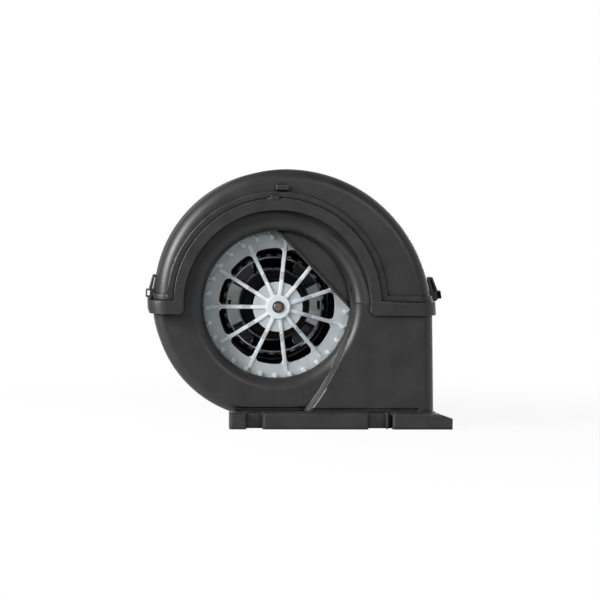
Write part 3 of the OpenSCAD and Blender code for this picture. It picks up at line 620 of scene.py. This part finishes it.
# floor, backdrop and studio light
studioSet = {
    "floorSize": 1.1,
    "floorDrop": 0.0002,
    "floorRough": 0.9,
    "floorShine": 0.1,
    "floorColor": (0.9, 0.9, 0.9),
    "floorBounce": (0.3, 0.3, 0.3),     # what it throws back at the blower
    # share of the floor that shows plain white, near the blower and far off
    "ownWhite": (0.92, 1.0),
    "fade": (0.2, 0.52),
    "ambient": 0.03,
    # the backdrop that the plastic mirrors is brightest behind, to the right
    "glowTowards": (0.85, 0.5, -0.2),
    "glowFrom": (0.15, 0.6),
    "glow": (0.15, 1.0),
    "lamps": [
        # name, place, aim, width, height, power
        ("stripLamp", (-0.898, -0.391, 0.465), (-0.045, 0.0, 0.12), 0.5, 0.5, 17.0),
        ("keyLamp", (-0.6, -0.66, 0.68), (-0.045, 0.0, 0.12), 1.2, 1.2, 2.3),
        ("rightLamp", (0.315, -0.883, 0.422), (-0.045, 0.0, 0.12), 0.1, 0.1, 1.5),
        ("glintLamp", (-0.334, -1.113, 0.464), (-0.045, 0.0, 0.12), 0.1, 0.1, 0.1),
        ("backLamp", (0.75, 1.2, 0.4), (0.0, 0.0, 0.12), 0.6, 0.6, 6.0),
    ],
}


def makeFloor(s):
    bm = bmesh.new()
    bmesh.ops.create_grid(bm, x_segments=1, y_segments=1, size=s["floorSize"] / 2)
    mesh = bpy.data.meshes.new("studioFloor")
    bm.to_mesh(mesh)
    bm.free()
    floor = bpy.data.objects.new("studioFloor", mesh)
    floor.location.z = -s["floorDrop"]
    scene.collection.objects.link(floor)
    material, tree, shader = newMaterial("paleFloor")
    shader.inputs["Roughness"].default_value = s["floorRough"]
    shader.inputs["Specular IOR Level"].default_value = s["floorShine"]
    glow = addNode(tree, "ShaderNodeEmission", Strength=1.0)
    path = tree.nodes.new("ShaderNodeLightPath")
    shade = mixColor(tree, s["floorBounce"], s["floorColor"])
    straight = addNode(tree, "ShaderNodeMath", operation="MAXIMUM")
    looked = addNode(tree, "ShaderNodeMath", operation="MAXIMUM")
    seen = addNode(tree, "ShaderNodeMath", operation="MULTIPLY")
    where = tree.nodes.new("ShaderNodeTexCoord")
    reach = addNode(tree, "ShaderNodeVectorMath", operation="LENGTH")
    near, far = s["fade"]
    white = addNode(
        tree, "ShaderNodeMapRange", From_Min=near, From_Max=far, To_Min=s["ownWhite"][0],
        To_Max=s["ownWhite"][1])
    mix = tree.nodes.new("ShaderNodeMixShader")
    link = tree.links.new
    link(where.outputs["Object"], reach.inputs[0])
    link(reach.outputs["Value"], white.inputs["Value"])
    link(path.outputs["Is Camera Ray"], shade.inputs["Factor"])
    link(shade.outputs["Result"], shader.inputs["Base Color"])
    link(path.outputs["Is Camera Ray"], straight.inputs[0])
    link(path.outputs["Is Transmission Ray"], straight.inputs[1])
    link(straight.outputs["Value"], looked.inputs[0])
    link(path.outputs["Is Glossy Ray"], looked.inputs[1])
    link(looked.outputs["Value"], seen.inputs[0])
    link(white.outputs["Result"], seen.inputs[1])
    link(seen.outputs["Value"], mix.inputs["Fac"])
    link(shader.outputs["BSDF"], mix.inputs[1])
    link(glow.outputs["Emission"], mix.inputs[2])
    link(mix.outputs["Shader"], tree.nodes["Material Output"].inputs["Surface"])
    mesh.materials.append(material)


def makeWorld(s):
    world = bpy.data.worlds.new("studioWorld")
    world.use_nodes = True
    scene.world = world
    tree = world.node_tree
    background = tree.nodes["Background"]
    background.inputs["Color"].default_value = (1, 1, 1, 1)
    link = tree.links.new
    path = tree.nodes.new("ShaderNodeLightPath")
    where = tree.nodes.new("ShaderNodeTexCoord")
    side = addNode(tree, "ShaderNodeVectorMath", operation="DOT_PRODUCT")
    side.inputs[1].default_value = s["glowTowards"]
    glow = addNode(
        tree, "ShaderNodeMapRange", interpolation_type="SMOOTHSTEP", From_Min=s["glowFrom"][0],
        From_Max=s["glowFrom"][1], To_Min=s["glow"][0], To_Max=s["glow"][1])
    mirrored = addNode(tree, "ShaderNodeMapRange", To_Min=s["ambient"])
    seen = addNode(tree, "ShaderNodeMath", operation="MAXIMUM")
    strength = addNode(tree, "ShaderNodeMapRange", To_Max=1.0)
    link(where.outputs["Generated"], side.inputs[0])
    link(side.outputs["Value"], glow.inputs["Value"])
    link(path.outputs["Is Glossy Ray"], mirrored.inputs["Value"])
    link(glow.outputs["Result"], mirrored.inputs["To Max"])
    link(path.outputs["Is Camera Ray"], seen.inputs[0])
    link(path.outputs["Is Transmission Ray"], seen.inputs[1])
    link(seen.outputs["Value"], strength.inputs["Value"])
    link(mirrored.outputs["Result"], strength.inputs["To Min"])
    link(strength.outputs["Result"], background.inputs["Strength"])


def makeLamps(s):
    for name, place, aim, width, height, power in s["lamps"]:
        data = bpy.data.lights.new(name, "AREA")
        data.shape = "RECTANGLE"
        data.size, data.size_y = width, height
        data.energy = power
        lamp = bpy.data.objects.new(name, data)
        lamp.location = place
        lamp.rotation_euler = (Vector(aim) - Vector(place)).to_track_quat("-Z", "Y").to_euler()
        scene.collection.objects.link(lamp)


makeFloor(studioSet)
makeWorld(studioSet)
makeLamps(studioSet)
print("studio made")
